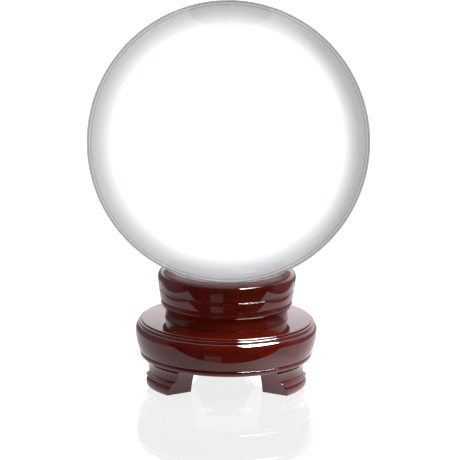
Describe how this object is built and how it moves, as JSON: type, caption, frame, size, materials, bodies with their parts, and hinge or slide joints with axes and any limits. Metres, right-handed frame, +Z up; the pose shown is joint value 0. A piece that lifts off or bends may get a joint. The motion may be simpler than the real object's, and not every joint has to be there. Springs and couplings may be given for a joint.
{
  "type": "crystal ball",
  "caption": "Clear glass crystal ball resting on a turned, lacquered hardwood stand with a dished collar and bracket feet.",
  "frame": {"origin": "on the floor under the ball's centre, midway between the feet", "axes": "+Z up along the turned axis; -Y is the front, with the two front feet either side of it; +X to the right"},
  "size_m": [0.15, 0.15, 0.2059],
  "materials": {
    "clear_glass": "polished optical glass",
    "lacquered_wood": "high-gloss dark red-brown lacquer over hardwood",
    "bare_wood": "unfinished beech dowel",
    "zinc_steel": "zinc-plated steel"
  },
  "bodies": {
    "stand": {"seat_collar": "lacquered_wood", "base_disc": "lacquered_wood", "foot_rear": "lacquered_wood", "foot_front_left": "lacquered_wood", "foot_front_right": "lacquered_wood", "foot_rear_dowel_inner": "bare_wood", "foot_rear_dowel_outer": "bare_wood", "foot_front_left_dowel_inner": "bare_wood", "foot_front_left_dowel_outer": "bare_wood", "foot_front_right_dowel_inner": "bare_wood", "foot_front_right_dowel_outer": "bare_wood", "collar_screw_1": "zinc_steel", "collar_screw_2": "zinc_steel", "collar_screw_3": "zinc_steel"},
    "ball": {"crystal_ball": "clear_glass"}
  },
  "joints": [
    {"name": "ball_lift", "type": "slide", "parent": "stand", "child": "ball", "axis": [0, 0, 1], "range_m": [0, 0.06]}
  ]
}
